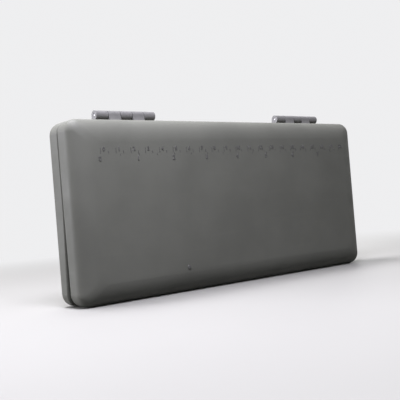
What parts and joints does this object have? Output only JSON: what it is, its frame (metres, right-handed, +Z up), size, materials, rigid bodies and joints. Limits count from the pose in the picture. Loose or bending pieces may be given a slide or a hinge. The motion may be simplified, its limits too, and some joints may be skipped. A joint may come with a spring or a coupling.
{
  "type": "fishing rig box",
  "caption": "Slim hinged rig box for hook lengths: two pillow-shaped trays with foam boards and rig pins, held shut by magnets, with a ruler along the lid.",
  "frame": {"origin": "middle of the box's foot, on the plane it stands on, under the parting plane of its two halves", "axes": "+X along the box, to the right for someone facing the lid; +Y from the lid to the base; +Z up, from the opening edge to the hinges"},
  "size_m": [0.236, 0.031, 0.1099],
  "materials": {
    "shell_plastic": "soft matte, fine moulded grain",
    "foam": "closed-cell foam, matte",
    "pin_steel": "drawn wire",
    "magnet_nickel": "nickel plate",
    "rig_pin_plastic": "satin moulded"
  },
  "bodies": {
    "base": {"base_shell": "shell_plastic", "base_foam": "foam", "hinge_pin_left": "pin_steel", "hinge_pin_right": "pin_steel", "base_magnet_left": "magnet_nickel", "base_magnet_right": "magnet_nickel", "base_rig_pin_01": "rig_pin_plastic", "base_rig_pin_02": "rig_pin_plastic", "base_rig_pin_03": "rig_pin_plastic", "base_rig_pin_04": "rig_pin_plastic", "base_rig_pin_05": "rig_pin_plastic", "base_rig_pin_06": "rig_pin_plastic", "base_rig_pin_07": "rig_pin_plastic", "base_rig_pin_08": "rig_pin_plastic", "base_rig_pin_09": "rig_pin_plastic", "base_rig_pin_10": "rig_pin_plastic"},
    "lid": {"lid_shell": "shell_plastic", "lid_foam": "foam", "lid_magnet_left": "magnet_nickel", "lid_magnet_right": "magnet_nickel", "lid_rig_pin_01": "rig_pin_plastic", "lid_rig_pin_02": "rig_pin_plastic", "lid_rig_pin_03": "rig_pin_plastic", "lid_rig_pin_04": "rig_pin_plastic", "lid_rig_pin_05": "rig_pin_plastic", "lid_rig_pin_06": "rig_pin_plastic", "lid_rig_pin_07": "rig_pin_plastic", "lid_rig_pin_08": "rig_pin_plastic", "lid_rig_pin_09": "rig_pin_plastic", "lid_rig_pin_10": "rig_pin_plastic"}
  },
  "joints": [
    {"name": "lid_hinge", "type": "hinge", "parent": "base", "child": "lid", "pos_m": [0, 0, 0.1071], "axis": [-1, 0, 0], "range_deg": [0, 180]}
  ]
}
